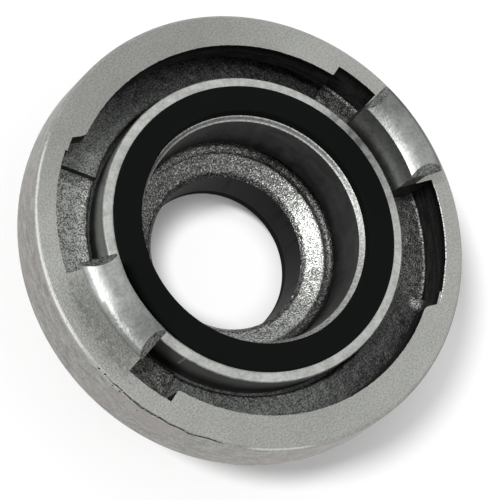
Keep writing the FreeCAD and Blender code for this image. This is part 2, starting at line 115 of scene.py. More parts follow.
class WaterwaySizes(bpy.types.PropertyGroup):
    bore: length("Bore", "Radius of the turned bore", 32.35)
    bore_depth: length("Bore depth", "Depth of the bore below the large face", 22.3)
    neck: length("Neck", "Radius of the neck", NECK_RADIUS)
    neck_depth: length("Neck depth", "Depth of the neck's upper end below the large face", 28.0)


class AdapterColours(bpy.types.PropertyGroup):
    blasted: colour("Flat faces", "Blasted metal of the flat faces", 0.3413, 0.3465, 0.3255)
    rim: colour("Rim", "Bevel round the flat faces", 0.325, 0.33, 0.31)
    side: colour("Side", "Rims, waist and back", 0.315, 0.31, 0.295)
    turned: colour("Turned metal", "Ends of the tubes and the bore's edge", 0.44, 0.45, 0.43)
    tube_wall: colour("Tube walls", "Outside of the tubes", 0.33, 0.3375, 0.3225)
    # painted shade: the turned metal of the bore, darkened for the dark that it reflects inside
    bore: colour("Bore", "Wall of the turned bore", 0.05, 0.052, 0.05)
    shoulder: colour("Shoulder", "Cast slope between the bore and the neck", 0.33, 0.3375, 0.3225)
    # painted shade: the neck's turned metal, darkened nearly to black
    neck: colour("Neck", "Wall of the neck", 0.008, 0.0083, 0.008)
    claw: colour("Claws", "Rubbed metal of the claws", 0.3528, 0.3626, 0.3479)
    # painted shade: the claws' metal, darker on their inner walls
    claw_wall: colour("Claw walls", "Inner walls of the claws", 0.2376, 0.2442, 0.2343)
    # the claws' cast ends: darker partly as cast and partly by painted shade
    claw_end: colour("Claw ends", "Cast ends of the claws", 0.1296, 0.1332, 0.1278)
    floor: colour("Window floors", "Cast floors of the windows", 0.275, 0.2813, 0.2688)
    channel: colour("Channels", "Floors of the channels", 0.18, 0.1875, 0.18)
    # painted shade: the walls under the flanges, given a near-black tint
    hollow: colour("Hollows", "Walls under the flanges", 0.0396, 0.0414, 0.0396)
    rubber: colour("Rubber", "Seals", 0.0045, 0.005, 0.0048)


class StageSizes(bpy.types.PropertyGroup):
    camera_azimuth: angle("Camera azimuth", "Where the camera stands about the axis", -172.87)
    camera_elevation: angle("Camera elevation", "How steeply the camera looks down", 63.52)
    camera_roll: angle("Camera roll", "Turn of the camera about its own line of sight", 50.51)
    camera_distance: length("Camera distance", "From the point that it looks at on the large face", 374.56)
    look_x: length("Look at X", "Point of the large face in the middle of the view", -7.18)
    look_y: length("Look at Y", "Point of the large face in the middle of the view", -4.73)
    lens: length("Lens", "Focal length on a sensor of 36 mm", 98.52)
    floor_size: length("Floor size", "Side of the floor", 3000)
    floor_white: share("Floor white", "How white the floor is", 0.97)
    floor_light: share("Floor light", "How much of the floor's white doesn't depend on the lamps", 0.12)
    side_light: share("Side light", "How much more of it doesn't, away from the part on one side", 0.3)
    side_start: length("Side start", "Radius at which the side light starts", 66)
    side_full: length("Side full", "Radius from which the side light is full", 96)
    seen_x: length("Seen X", "Middle of the floor that shows through the waterway", 7)
    seen_y: length("Seen Y", "Middle of the floor that shows through the waterway", -1)
    seen_reach: length("Seen reach", "How far from there the floor's own white fades out", 28)
    seen_margin: length("Seen margin", "How far past the neck's radius it reaches at most", 5)
    key_azimuth: angle("Key azimuth", "Where the key lamp stands about the axis", 150)
    key_elevation: angle("Key elevation", "How steeply the key lamp shines down", 57)
    key_spread: angle("Key spread", "How wide the key lamp looks from the part", 9)
    key_strength: FloatProperty(name="Key strength", description="Light of the key lamp", default=2.45)
    soft_light: FloatProperty(name="Soft light", description="Light from all round", default=0.45)


# sides of the axis where a finish differs, many of them by painted shade or a painted highlight: the
# azimuth in degrees, and the cosines of the angle from that azimuth at which the side starts and is full
SIDES = {
    "dull_face": (100, 0.4, 1.0),
    "dim_face": (-125, 0.6, 1.0),
    "soiled_face": (182, 0.94, 0.975),
    "burr": (-35, 0.945, 0.96),
    "rubbed_rim": (157, 0.84, 0.94),
    "faintly_rubbed_rim": (-120, 0.985, 0.995),
    "dark_rim": (-25, 0.3, 0.7),
    "flaw": (-151, 0.955, 0.972),
    "pits": (-168, 0.993, 0.998),
    "stain": (8, 0.9, 0.99),
    "dull_edge": (70, -0.1, 0.6),
    "polished_claw": (169, 0.974, 0.994),
    "seam": (-153.1, 0.9, 0.95),
    "dull_shoulder": (100, -0.5, 0.0),
    "dark_shoulder": (-30, -0.1, 0.5),
    "dull_floor": (-40, -0.9, -0.5),
    "worn_floor": (-160, 0.9, 0.97),
    "dark_channel": (55, 0.2, 0.8),
    "dim_channel": (-50, 0.3, 0.9),
    "worn_channel": (-155, 0.5, 0.95),
    "bright_ground": (-90, 0.3, 0.8),
}
# painted sparkle in a channel: X, Y and how far it reaches, in millimetres
CHANNEL_SPARKLE = (33.7, -42.8, 2.6)


class Signal:
    """An output socket of a node. Sums and products with it add Math nodes."""

    def __init__(self, nodes, socket):
        self.nodes = nodes
        self.socket = socket

    def math(self, operation, *values):
        return self.nodes.node("ShaderNodeMath", {"operation": operation}, dict(enumerate((self, *values))))

    def __add__(self, other):
        return self.math("ADD", other)

    def __sub__(self, other):
        return self.math("SUBTRACT", other)

    def __rsub__(self, other):
        return self.nodes.node("ShaderNodeMath", {"operation": "SUBTRACT"}, {0: other, 1: self})

    def __mul__(self, other):
        return self.math("MULTIPLY", other)

    def __truediv__(self, other):
        return self.math("DIVIDE", other)

    __radd__ = __add__
    __rmul__ = __mul__


class Nodes:
    """The nodes of a material or of the surroundings."""

    def __init__(self, owner):
        owner.use_nodes = True
        self.owner = owner
        self.tree = owner.node_tree
        self.tree.nodes.clear()

    def node(self, kind, settings=None, inputs=None, output=0):
        """Adds a node. Settings come first, then the values or links of its inputs."""
        node = self.tree.nodes.new(kind)
        for name, value in (settings or {}).items():
            setattr(node, name, value)
        for name, value in (inputs or {}).items():
            if isinstance(value, Signal):
                self.tree.links.new(value.socket, node.inputs[name])
            else:
                node.inputs[name].default_value = value
        return node if output is None else Signal(self, node.outputs[output])

    def seen_directly(self):
        """1 for what the camera sees, also in a reflection or through glass, and 0 for what gives light."""
        path = self.node("ShaderNodeLightPath", output=None)
        names = ("Is Camera Ray", "Is Glossy Ray", "Is Transmission Ray")
        camera, glossy, clear = (Signal(self, path.outputs[name]) for name in names)
        return camera.math("MAXIMUM", glossy).math("MAXIMUM", clear)


class Finish(Nodes):
    """A material in the making, with the patterns that the adapter's finishes share."""

    def __init__(self, name):
        super().__init__(bpy.data.materials.new(name))
        metres = self.node("ShaderNodeTexCoord", output="Object")
        inputs = {"Vector": metres, "Scale": 1 / MM}
        self.place = self.node("ShaderNodeVectorMath", {"operation": "SCALE"}, inputs)
        split = self.node("ShaderNodeSeparateXYZ", inputs={"Vector": self.place}, output=None)
        self.x, self.y, self.z = (Signal(self, socket) for socket in split.outputs)
        self.radius = (self.x * self.x + self.y * self.y).math("SQRT")

    def noise(self, size, detail=2.0, roughness=0.5, distortion=0.0, place=None):
        """Noise whose blotches are about so many millimetres across."""
        inputs = {"Vector": place or self.place, "Scale": 1 / size, "Detail": detail,
                  "Roughness": roughness, "Distortion": distortion}
        return self.node("ShaderNodeTexNoise", inputs=inputs)

    def cells(self, size):
        """Distance to the nearest of points about so many millimetres apart, as a share of that."""
        return self.node("ShaderNodeTexVoronoi", inputs={"Vector": self.place, "Scale": 1 / size})

    def turned_place(self, across, along):
        """Place in cylindrical terms, for marks that run round the axis: drawn out by these factors."""
        around = self.y.math("ARCTAN2", self.x)
        inputs = {"X": self.radius / across, "Y": around * self.radius / along, "Z": self.z / across}
        return self.node("ShaderNodeCombineXYZ", inputs=inputs)

    def step(self, signal, low, high):
        """0 below low and 1 above high, smooth between, and the other way round where low is more."""
        settings = {"interpolation_type": "SMOOTHSTEP"}
        inputs = {"Value": signal, "From Min": low, "From Max": high}
        return self.node("ShaderNodeMapRange", settings, inputs)

    def band(self, signal, low, high, soft):
        """1 between low and high, with soft ends."""
        return self.step(signal, low - soft, low + soft) * self.step(signal, high + soft, high - soft)

    def side(self, name):
        """1 on one of the sides of the axis, and 0 elsewhere."""
        azimuth, start, full = SIDES[name]
        bearing = math.radians(azimuth)
        cosine = (self.x * math.cos(bearing) + self.y * math.sin(bearing)) / self.radius
        return self.step(cosine, start, full)

    def across(self, name):
        """Distance in millimetres from the middle line of one of the sides."""
        bearing = math.radians(SIDES[name][0])
        return self.y * math.cos(bearing) - self.x * math.sin(bearing)

    def near(self, x, y, reach):
        """1 at a place seen along the axis, falling to 0 at this distance from it."""
        east, north = self.x - x, self.y - y
        return self.step((east * east + north * north).math("SQRT"), reach, 0)

    def blend(self, mask, first, second):
        """Colour between two colours."""
        node = self.node("ShaderNodeMix", {"data_type": "RGBA"}, output=None)
        sockets = {socket.identifier: socket for socket in node.inputs}
        for name, value in (("Factor_Float", mask), ("A_Color", first), ("B_Color", second)):
            if isinstance(value, Signal):
                self.tree.links.new(value.socket, sockets[name])
            else:
                sockets[name].default_value = value if name == "Factor_Float" else (*value, 1)[:4]
        results = {socket.identifier: socket for socket in node.outputs}
        return Signal(self, results["Result_Color"])

    def mottled(self, mask, tint, dark, bright):
        """Colour between a darker and a brighter shade of the tint."""
        return self.blend(mask, shade(tint, dark), shade(tint, bright))

    def darkened(self, tone, mask):
        """The tone, turning black where the mask is 1."""
        return self.blend(mask, tone, BLACK)

    def soft_edges(self, radius):
        """Normal that rounds sharp edges off, as tumbling and use have done."""
        return self.node("ShaderNodeBevel", {"samples": 4}, {"Radius": radius * MM})

    def metal(self, tone, roughness, height, relief, edge=0.2):
        """Metal with a relief: height is a signal of which 1 stands for so many millimetres."""
        bumped = self.node("ShaderNodeBump", inputs={
            "Strength": 1.0, "Distance": relief * MM, "Height": height, "Normal": self.soft_edges(edge)})
        shader = self.node("ShaderNodeBsdfPrincipled", inputs={
            "Base Color": tone, "Metallic": 1.0, "Roughness": roughness, "Normal": bumped})
        return self.surface(shader)

    def surface(self, shader):
        """Ends the material with this shader and gives it back."""
        self.node("ShaderNodeOutputMaterial", inputs={"Surface": shader}, output=None)
        return self.owner


def shade(tint, factor):
    return tuple(min(1, channel * factor) for channel in tint)


def blasted_metal(tint, window):
    """Flat faces: fine even grain, painted shade on two sides, a dark patch by a claw, a window edge's
    painted highlight.
    """
    finish = Finish("blasted_metal")
    grain = finish.noise(0.5, detail=1)
    clouds = finish.noise(9, detail=2)
    tone = finish.mottled(finish.step(grain * 0.8 + clouds * 0.2, 0.3, 0.7), tint, 0.8, 1.16)
    # painted shade: the flat face darker on two sides
    tone = finish.darkened(tone, finish.side("dull_face") * 0.26 + finish.side("dim_face") * 0.12)
    smears = finish.noise(1.6, detail=4, roughness=0.6)
    # darker mottled patch on the flat face beside one claw's root
    dark_patch = finish.side("soiled_face") * finish.step(smears, 0.4, 0.62)
    dark_patch = dark_patch * finish.band(finish.radius, window - 2.2, window + 1.8, 2.5)
    tone = finish.darkened(tone, dark_patch * 0.34)
    specks = finish.step(finish.cells(3.1), 0.1, 0.05) * finish.step(clouds, 0.5, 0.6)
    tone = finish.blend(specks, tone, shade(tint, 0.45))
    # painted highlight along one window's edge
    burr = finish.band(finish.radius, window, window + 0.3, 0.12) * finish.side("burr")
    tone = finish.blend(burr * finish.step(grain, 0.46, 0.54), tone, WHITE)
    return finish.metal(tone, 0.48 + grain * 0.14, grain - specks * 0.4, relief=0.06)


def side_metal(tint):
    """Rims and back: blasted too, but more mottled, with the mould's marks running round."""
    finish = Finish("side_metal")
    grain = finish.noise(0.8, detail=3, roughness=0.7)
    marks = finish.noise(1.0, detail=4, roughness=0.6, place=finish.turned_place(1.6, 4.0))
    tone = finish.mottled(finish.step(grain * 0.5 + marks * 0.5, 0.34, 0.66), tint, 0.64, 1.24)
    warm = finish.step(finish.noise(11, detail=3), 0.45, 0.65)
    tone = finish.blend(warm * 0.5, tone, (tint[0] * 1.06, tint[1] * 0.97, tint[2] * 0.96))
    pits = finish.step(finish.cells(3.2), 0.14, 0.07) * finish.step(marks, 0.52, 0.6)
    tone = finish.blend(pits, tone, shade(tint, 0.3))
    return finish.metal(tone, 0.46 + grain * 0.15, grain * 0.5 + marks * 0.5 - pits * 0.5, relief=0.12)


def rim_metal(tint, rim):
    """Bevel round the flat face: a painted highlight on some stretches, with a dark flaw and pits on others.
    """
    finish = Finish("rim_metal")
    grain = finish.noise(0.7, detail=3, roughness=0.7)
    wander = finish.noise(9, detail=3)
    tone = finish.mottled(finish.step(grain * 0.7 + wander * 0.3, 0.34, 0.66), tint, 0.72, 1.15)
    # painted highlight along stretches of the bevel, which is also less rough there
    rim_highlight = finish.side("rubbed_rim") + finish.side("faintly_rubbed_rim") * 0.6
    rim_highlight = rim_highlight * finish.band(finish.radius + (wander - 0.5) * 0.3, rim - 0.75, rim - 0.35, 0.2)
    tone = finish.blend(rim_highlight * finish.step(grain, 0.28, 0.42), tone, shade(tint, 2.2))
    outer = finish.step(finish.radius, rim - 0.4, rim - 0.15) * finish.side("dark_rim")
    tone = finish.blend(outer * finish.step(grain, 0.3, 0.5) * 0.7, tone, shade(tint, 0.1))
    flaw = finish.band(finish.radius + (wander - 0.5) * 1.6, rim - 0.62, rim - 0.3, 0.08)
    flaw = flaw * finish.side("flaw") * finish.step(grain, 0.36, 0.5)
    pits = finish.step(finish.cells(1.3), 0.3, 0.16) * finish.side("pits")
    tone = finish.blend((flaw + pits).math("MINIMUM", 1), tone, shade(tint, 0.14))
    return finish.metal(tone, 0.46 - rim_highlight * 0.12, grain - flaw * 2 - pits, relief=0.08)


def turned_metal(tint):
    """Turned ends of the tubes: smooth, with fine rings about the axis and blotches from handling."""
    finish = Finish("turned_metal")
    rings = (finish.radius * 22).math("SINE")
    grain = finish.noise(0.8, detail=3, roughness=0.7)
    blotches = finish.noise(3.5, detail=4, roughness=0.6)
    tone = finish.mottled(finish.step(grain * 0.45 + blotches * 0.55, 0.34, 0.66), tint, 0.74, 1.16)
    # darker blotches on one side of the tube's end
    tone = finish.blend(finish.side("stain") * finish.step(blotches, 0.42, 0.62), tone, shade(tint, 0.45))
    return finish.metal(tone, 0.36 + grain * 0.12, rings * 0.2 + grain, relief=0.03, edge=0.15)


def edge_metal(tint, bore, seal):
    """Step between the seal and the bore: bright along both corners, with painted shade between them on one
    side.
    """
    finish = Finish("edge_metal")
    grain = finish.noise(0.6, detail=3)
    tone = finish.mottled(finish.step(grain, 0.36, 0.62), tint, 0.72, 1.2)
    # painted shade on the middle of the step, on one side
    middle = finish.band(finish.radius + (grain - 0.5) * 0.4, bore + 0.4, seal - 0.25, 0.12)
    tone = finish.darkened(tone, middle * finish.side("dull_edge") * 0.62)
    return finish.metal(tone, 0.34 + grain * 0.15, grain, relief=0.08)


def dark_metal(name, tint, roughness):
    """Walls of the bore and the neck: turned smooth and matte, with smears and faint marks; their dark tints
    are painted shade.
    """
    finish = Finish(name)
    marks = finish.noise(1.0, detail=3, place=finish.turned_place(1.2, 14.0))
    clouds = finish.noise(7, detail=4, distortion=0.8)
    tone = finish.mottled(finish.step(marks * 0.3 + clouds * 0.7, 0.35, 0.68), tint, 0.72, 1.5)
    return finish.metal(tone, roughness + clouds * 0.15, marks, relief=0.02, edge=0.15)


def claw_metal(name, tint, roughness, lip, end_shade=0.0):
    """Claws: cast, then smoothed by use, with a painted highlight on one stretch, and rougher and darker
    along the outer root.

    End shade is how much painted shade each claw gets towards one of its ends. The claw with a
    positive X gets painted shade all over and is rougher than the other.
    """
    finish = Finish(name)
    swirls = finish.noise(2.4, detail=4, distortion=1.6)
    clouds = finish.noise(6, detail=3)
    grain = finish.noise(0.7, detail=3)
    mix = finish.step(swirls * 0.3 + clouds * 0.4 + grain * 0.3, 0.36, 0.64)
    tone = finish.mottled(mix, tint, 0.76, 1.18)
    towards_end = finish.x * finish.y / (finish.radius * finish.radius)
    # painted shade towards one end of each claw
    tone = finish.darkened(tone, finish.step(towards_end, -0.15, 0.25) * end_shade)
    # painted shade all over the claw with a positive X, which is also rougher
    shaded_rough_claw = 1 - finish.step(finish.x, 10, -10)
    tone = finish.darkened(tone, shaded_rough_claw * 0.22)
    root = finish.step(finish.radius + (swirls - 0.5) * 2, lip - 1.6, lip - 0.4)
    tone = finish.darkened(tone, root * 0.3)
    # painted highlight on one claw
    claw_highlight = finish.band(finish.radius + (swirls - 0.5) * 1.5, lip - 3.8, lip - 0.8, 1.1)
    tone = finish.blend(claw_highlight * finish.side("polished_claw"), tone, shade(tint, 1.5))
    rough = roughness + swirls * 0.12 + root * 0.35 + shaded_rough_claw * 0.1
    return finish.metal(tone, rough, swirls * 0.6 + grain * 0.4, relief=0.12, edge=0.3)


def cast_metal(name, tint, grain_size, relief, roughness, contrast, shade_sides=None, glint=0.2, sparkle=None,
               shade_beyond=None):
    """As cast: grainy, with pits and bright specks.

    Shade sides says on which sides painted shade darkens the metal and how much, and glint how much of
    the grains' tops keeps a painted glint there. Sparkle gives the place and reach of a painted sparkle.
    Shade beyond is the radius from which painted shade darkens the shoulder on its shaded side.
    """
    finish = Finish(name)
    grain = finish.noise(grain_size, detail=2, roughness=0.55)
    clouds = finish.noise(grain_size * 6, detail=3)
    mix = finish.step(grain * 0.8 + clouds * 0.2, 0.38, 0.6)
    tone = finish.mottled(mix, tint, 1 - contrast, 1 + contrast)
    # painted shade on the named sides, less on the grains' tops, which keep a painted glint
    for side, amount in (shade_sides or {}).items():
        shade_kept = 1 - finish.step(grain, 0.56, 0.64) * glint
        tone = finish.darkened(tone, finish.side(side) * amount * shade_kept)
    # painted sparkle
    if sparkle:
        tone = finish.blend(finish.near(*sparkle) * finish.step(grain, 0.4, 0.55), tone, (0.9, 0.9, 0.88))
    # painted shade on the outer part of the shoulder, on one side
    if shade_beyond:
        outer = finish.step(finish.radius + (grain - 0.5) * 3, shade_beyond - 0.6, shade_beyond + 0.8)
        tone = finish.darkened(tone, outer * finish.side("dark_shoulder") * 0.8)
    return finish.metal(tone, roughness + grain * 0.15, grain, relief, edge=0.3)


def hollow_metal(tint, face):
    """Walls under the flanges: as cast, with streaks, and painted shade a little below the flat face."""
    finish = Finish("hollow_metal")
    grain = finish.noise(0.8, detail=3)
    streaks = finish.noise(1.0, detail=4, place=finish.turned_place(1.4, 9.0))
    tone = finish.mottled(finish.step(grain * 0.4 + streaks * 0.6, 0.38, 0.64), tint, 0.5, 1.7)
    # painted shade just under the flange's edge, where below is 0
    below = finish.step(finish.z + (streaks - 0.5) * 3, face - 1.4, face - 3.6)
    tone = finish.blend(below, shade(tint, 0.3), tone)
    return finish.metal(tone, 0.5 + grain * 0.15, grain * 0.5 + streaks * 0.5, relief=0.2, edge=0.3)


def tube_wall_metal(tint, large, small):
    """Outside of the tubes: matte, with painted shade the deeper it lies in the groove, and one bright seam.
    """
    finish = Finish("tube_wall_metal")
    marks = finish.noise(1.0, detail=3, place=finish.turned_place(1.0, 8.0))
    # painted shade: lit is 1 near the tube's end and 0 deep in the groove
    lit = finish.step(finish.z, large.face - large.window_depth, large.face - large.tube_depth - 3)
    lit = lit + finish.step(finish.z, small.face + small.window_depth, small.face + small.tube_depth + 3)
    tone = finish.mottled(lit * (0.6 + marks * 0.7), tint, 0.25, 1.3)
    seam = finish.band(finish.across("seam"), -0.35, 0.35, 0.15) * finish.side("seam")
    seam = seam * finish.step(finish.z, large.face - 9, large.face - 8)
    tone = finish.blend(seam, tone, (0.8, 0.8, 0.78))
    return finish.metal(tone, 0.4 + marks * 0.15, marks + seam * 4, relief=0.05)


def seal_rubber(tint):
    """Matte rubber with a fine bloom."""
    finish = Finish("seal_rubber")
    grain = finish.noise(0.6, detail=3)
    clouds = finish.noise(9, detail=2)
    tone = finish.mottled(grain * 0.5 + clouds * 0.5, tint, 0.75, 1.3)
    bumped = finish.node("ShaderNodeBump", inputs={
        "Distance": 0.02 * MM, "Height": grain, "Normal": finish.soft_edges(0.2)})
    shader = finish.node("ShaderNodeBsdfPrincipled", inputs={
        "Base Color": tone, "Roughness": 0.62 + grain * 0.15, "Specular IOR Level": 0.03, "Normal": bumped})
    return finish.surface(shader)


def casting_materials(colours, large, small, waterway):
    """The material of each finish of the casting."""
    return {
        "blasted": blasted_metal(colours.blasted, large.window),
        "side": side_metal(colours.side),
        "rim": rim_metal(colours.rim, large.rim),
        "turned": turned_metal(colours.turned),
        "edge": edge_metal(colours.turned, waterway.bore, large.seal),
        "bore": dark_metal("bore_metal", colours.bore, roughness=0.42),
        # painted shade on one side of the shoulder and on its outer part
        "shoulder": cast_metal(
            "cast_shoulder", colours.shoulder, grain_size=0.5, relief=0.2, roughness=0.26, contrast=0.6,
            shade_sides={"dull_shoulder": 0.62}, glint=0.7, shade_beyond=29.4),
        "neck": dark_metal("neck_metal", colours.neck, roughness=0.58),
        "claw": claw_metal("claw_metal", colours.claw, 0.3, large.lip, end_shade=0.36),
        "claw_wall": claw_metal("claw_wall", colours.claw_wall, 0.36, large.lip),
        "claw_end": cast_metal(
            "claw_end", colours.claw_end, grain_size=0.5, relief=0.15, roughness=0.45, contrast=0.65),
        "tube_wall": tube_wall_metal(colours.tube_wall, large, small),
        # painted shade on two sides of the window floors
        "floor": cast_metal(
            "cast_floor", colours.floor, grain_size=0.45, relief=0.2, roughness=0.36, contrast=0.65,
            shade_sides={"dull_floor": 0.52, "worn_floor": 0.4}),
        # painted shade on three sides of the channels, and a painted sparkle
        "channel": cast_metal(
            "channel_floor", colours.channel, grain_size=0.5, relief=0.14, roughness=0.44, contrast=0.5,
            shade_sides={"dark_channel": 0.7, "dim_channel": 0.65, "worn_channel": 0.5}, sparkle=CHANNEL_SPARKLE),
        "hollow": hollow_metal(colours.hollow, large.face),
    }


FINISHES = ("blasted", "side", "rim", "turned", "edge", "bore", "shoulder", "neck", "claw", "claw_wall",
            "claw_end", "tube_wall", "floor", "channel", "hollow")
# finishes with a cast relief: the width of its lumps and how high they stand, in millimetres
RELIEF = {"floor": (1.2, 0.2), "channel": (1.8, 0.14), "shoulder": (0.9, 0.1), "claw_end": (1.2, 0.12)}
# side of the mesh's cells on those, in millimetres
CELL = 0.8
# how fast smaller lumps get lower and narrower, and how many sizes of them there are
LUMP_SIZES = (1.0, 2.0, 3)
# flat finishes whose inner edges run uneven, and by how much, in millimetres
RAGGED = {"blasted": 0.14, "turned": 0.1}
# length of the pieces that such an edge is cut into, and of its waves, in millimetres
RAGGED_STEP = 0.9
RAGGED_WAVE = 1.1
# a facet is on a surface that its middle misses by less than this, in millimetres
NEAR = 0.02
# the windows' outer wall may be stepped back by this
WALL_STEP = 0.3
# height of the tube's rounded end
TUBE_END = 0.4
# how far the windows' floors may lie off their stated depth
FLOOR_SPREAD = 0.75
# a facet that lies further than this below the channels' ends is on the outside
FLOOR_THICKNESS = 2.5
# a normal looks mostly one way from this share of its length, and straight one way from the next
MOSTLY = 0.5
STRAIGHT = 0.95
# a claw's facet that looks round the axis by more than this is on the claw's end
ENDWAYS = 0.35
# a floor that looks round the axis by more than this is a channel's, which falls
LEVEL = 0.01
# claws lie within this of the X axis, as the cosine of the angle
CLAW_SIDE = 0.96
# faces that meet at less than this are one smooth surface
SMOOTH_ANGLE = math.radians(28)
# how far a facet's normal may point round the axis by the facet's own width alone
FACET_ERROR = 0.06
# a facet whose normal points further round than this isn't part of a turned surface
MAX_TURNED = 0.25


class Facet:
    """Where a face lies and which way it looks, in terms of the axis and of the head that it is in."""

    def __init__(self, face, heads):
        centre = face.calc_center_median() / MM
        middle = (heads[0].face + heads[1].face) / 2
        self.head = heads[0] if centre.z > middle else heads[1]
        self.height = centre.z
        self.radius = math.hypot(centre.x, centre.y)
        self.above = (centre.z - self.head.face) * self.head.outward
        out, onward = axes_at(centre)
        self.outward = face.normal.dot(out)
        self.up = face.normal.z * self.head.outward
        self.around = abs(face.normal.dot(onward))
        self.at_claw = abs(out.x) > CLAW_SIDE


def axes_at(place):
    """Directions straight out from the axis and round it at a place."""
    out = Vector((place.x, place.y, 0)).normalized()
    return out, Vector((-out.y, out.x, 0))


def waterway_zone(facet, large, waterway):
    """Finish of a face inside the seals."""
    if facet.height > large.face - waterway.bore_depth + NEAR:
        in_bore = facet.radius < waterway.bore + NEAR and facet.outward < -STRAIGHT
        return "bore" if in_bore else "edge"
    return "neck" if facet.radius < waterway.neck + NEAR else "shoulder"


def claw_zone(facet):
    """Finish of a face that stands out of the flat face."""
    if facet.around > ENDWAYS:
        return "claw_end"
    return "claw_wall" if facet.outward < -STRAIGHT else "claw"


def zone(facet, heads, waterway):
    """Finish of a face of the casting."""
    head = facet.head
    large, small = heads
    seal = large.seal if facet.height > large.face - waterway.neck_depth else small.seal
    if facet.radius < seal + NEAR and facet.above < 0:
        return waterway_zone(facet, large, waterway)
    if facet.above > NEAR:
        return claw_zone(facet)
    if facet.above > -NEAR:
        return "blasted"
    if facet.radius > head.window + WALL_STEP:
        bevelled = facet.above > -head.bevel and facet.radius < head.rim
        return "rim" if bevelled and facet.up > MOSTLY else "side"
    if facet.radius < head.tube + NEAR:
        if facet.up > MOSTLY:
            return "turned" if facet.above > -head.tube_depth - TUBE_END else "hollow"
        return "tube_wall" if facet.outward > MOSTLY else "hollow"
    if facet.at_claw and facet.outward < -STRAIGHT and facet.radius < head.groove + NEAR:
        return "claw_wall"
    if facet.above < -head.channel_end - FLOOR_THICKNESS:
        return "side" if facet.up < 0 else "hollow"
    if facet.up > MOSTLY:
        in_window = abs(facet.above + head.window_depth) < FLOOR_SPREAD and facet.around < LEVEL
        return "floor" if in_window else "channel"
    return "hollow"


def add_object(name, mesh):
    piece = bpy.data.objects.new(name, mesh)
    bpy.context.scene.collection.objects.link(piece)
    return piece


def joined_copy(node, cuts=()):
    """A copy of a CAD node's mesh with its loose triangles joined, cut at these heights."""
    bm = bmesh.new()
    bm.from_mesh(node.data)
    bmesh.ops.remove_doubles(bm, verts=bm.verts, dist=WELD)
    for height in cuts:
        whole = bm.verts[:] + bm.edges[:] + bm.faces[:]
        bmesh.ops.bisect_plane(bm, geom=whole, plane_co=(0, 0, height * MM), plane_no=(0, 0, 1), dist=WELD)
    for face in bm.faces:
        face.smooth = True
    return bm


def sliced(bm, faces, axis, planes):
    """Cuts these faces at every plane across the axis, the middle one first, and gives what they became."""
    if not planes or not faces:
        return faces
    middle = len(planes) // 2
    whole = list({item for face in faces for item in (face, *face.edges, *face.verts)})
    cut = bmesh.ops.bisect_plane(bm, geom=whole, plane_co=axis * planes[middle], plane_no=axis, dist=WELD)
    halves = ([], [])
    for item in cut["geom"]:
        if isinstance(item, bmesh.types.BMFace):
            halves[item.calc_center_median().dot(axis) > planes[middle]].append(item)
    return sliced(bm, halves[0], axis, planes[:middle]) + sliced(bm, halves[1], axis, planes[middle + 1:])


def in_cells(bm, faces, cell):
    """Cuts these faces along a grid that looks square from above."""
    for axis in (Vector((1, 0, 0)), Vector((0, 1, 0))):
        places = [vert.co.dot(axis) for face in faces for vert in face.verts]
        low = min(places)
        count = int((max(places) - low) / cell)
        faces = sliced(bm, faces, axis, [low + step * cell for step in range(1, count + 1)])
    return faces


def roughen(bm, finish):
    """Gives the faces of a cast finish their lumps, and leaves their outline where it is."""
    lumps, height = RELIEF[finish]
    index = FINISHES.index(finish)
    faces = in_cells(bm, [face for face in bm.faces if face.material_index == index], CELL * MM)
    inner = {vert for face in faces for vert in face.verts}
    inner = [vert for vert in inner if all(face.material_index == index for face in vert.link_faces)]
    bm.normal_update()
    rises = [noise.fractal(vert.co / (lumps * MM), *LUMP_SIZES) for vert in inner]
    moves = [vert.normal * rise * height * MM for vert, rise in zip(inner, rises)]
    for vert, move in zip(inner, moves):
        vert.co += move


def ragged_edges(bm, finish, width):
    """Lets the inner edges of a flat finish run slightly uneven, as blasting and fettling leave them."""
    index = FINISHES.index(finish)
    rim = FINISHES.index("rim")
    by_cuts = {}
    for edge in bm.edges:
        sides = [face.material_index for face in edge.link_faces]
        cuts = int(edge.calc_length() / (RAGGED_STEP * MM))
        if cuts and len(sides) == 2 and sides.count(index) == 1 and rim not in sides:
            by_cuts.setdefault(cuts, []).append(edge)
    for cuts, alike in by_cuts.items():
        made = bmesh.ops.subdivide_edges(bm, edges=alike, cuts=cuts)
        for vert in made["geom_inner"]:
            if isinstance(vert, bmesh.types.BMVert):
                out, onward = axes_at(vert.co)
                vert.co += out * noise.noise(vert.co / (RAGGED_WAVE * MM)) * width * MM


def turned_normals(bm):
    """Normals of the face corners as on the true surfaces, most of which are turned about the axis.

    A facet's normal is taken apart into what points out, round and up at the facet, mixed with that
    of its smooth neighbours and put together again at the corner. Rough faces just mix their own.
    """
    rough = {FINISHES.index(finish) for finish in RELIEF}
    parts = {}
    for face in bm.faces:
        out, onward = axes_at(face.calc_center_median())
        parts[face] = Vector((face.normal.dot(out), face.normal.dot(onward), face.normal.z))
        if abs(parts[face].y) < FACET_ERROR and abs(parts[face].x) > FACET_ERROR:
            parts[face].y = 0
    normals = []
    smooth = math.cos(SMOOTH_ANGLE)
    for face in bm.faces:
        own = parts[face]
        for loop in face.loops:
            if face.material_index in rough:
                alike = [other for other in loop.vert.link_loops if other.face.material_index in rough]
                total = sum((other.face.normal * other.calc_angle() for other in alike), Vector())
                normals.append(total.normalized())
                continue
            if abs(own.y) > MAX_TURNED:
                normals.append(face.normal.copy())
                continue
            mixed = Vector()
            for near in loop.vert.link_loops:
                other = parts[near.face]
                if own.dot(other) > smooth * other.length * own.length:
                    mixed += other * near.calc_angle()
            out, onward = axes_at(loop.vert.co)
            normals.append((out * mixed.x + onward * mixed.y + Vector((0, 0, mixed.z))).normalized())
    return normals


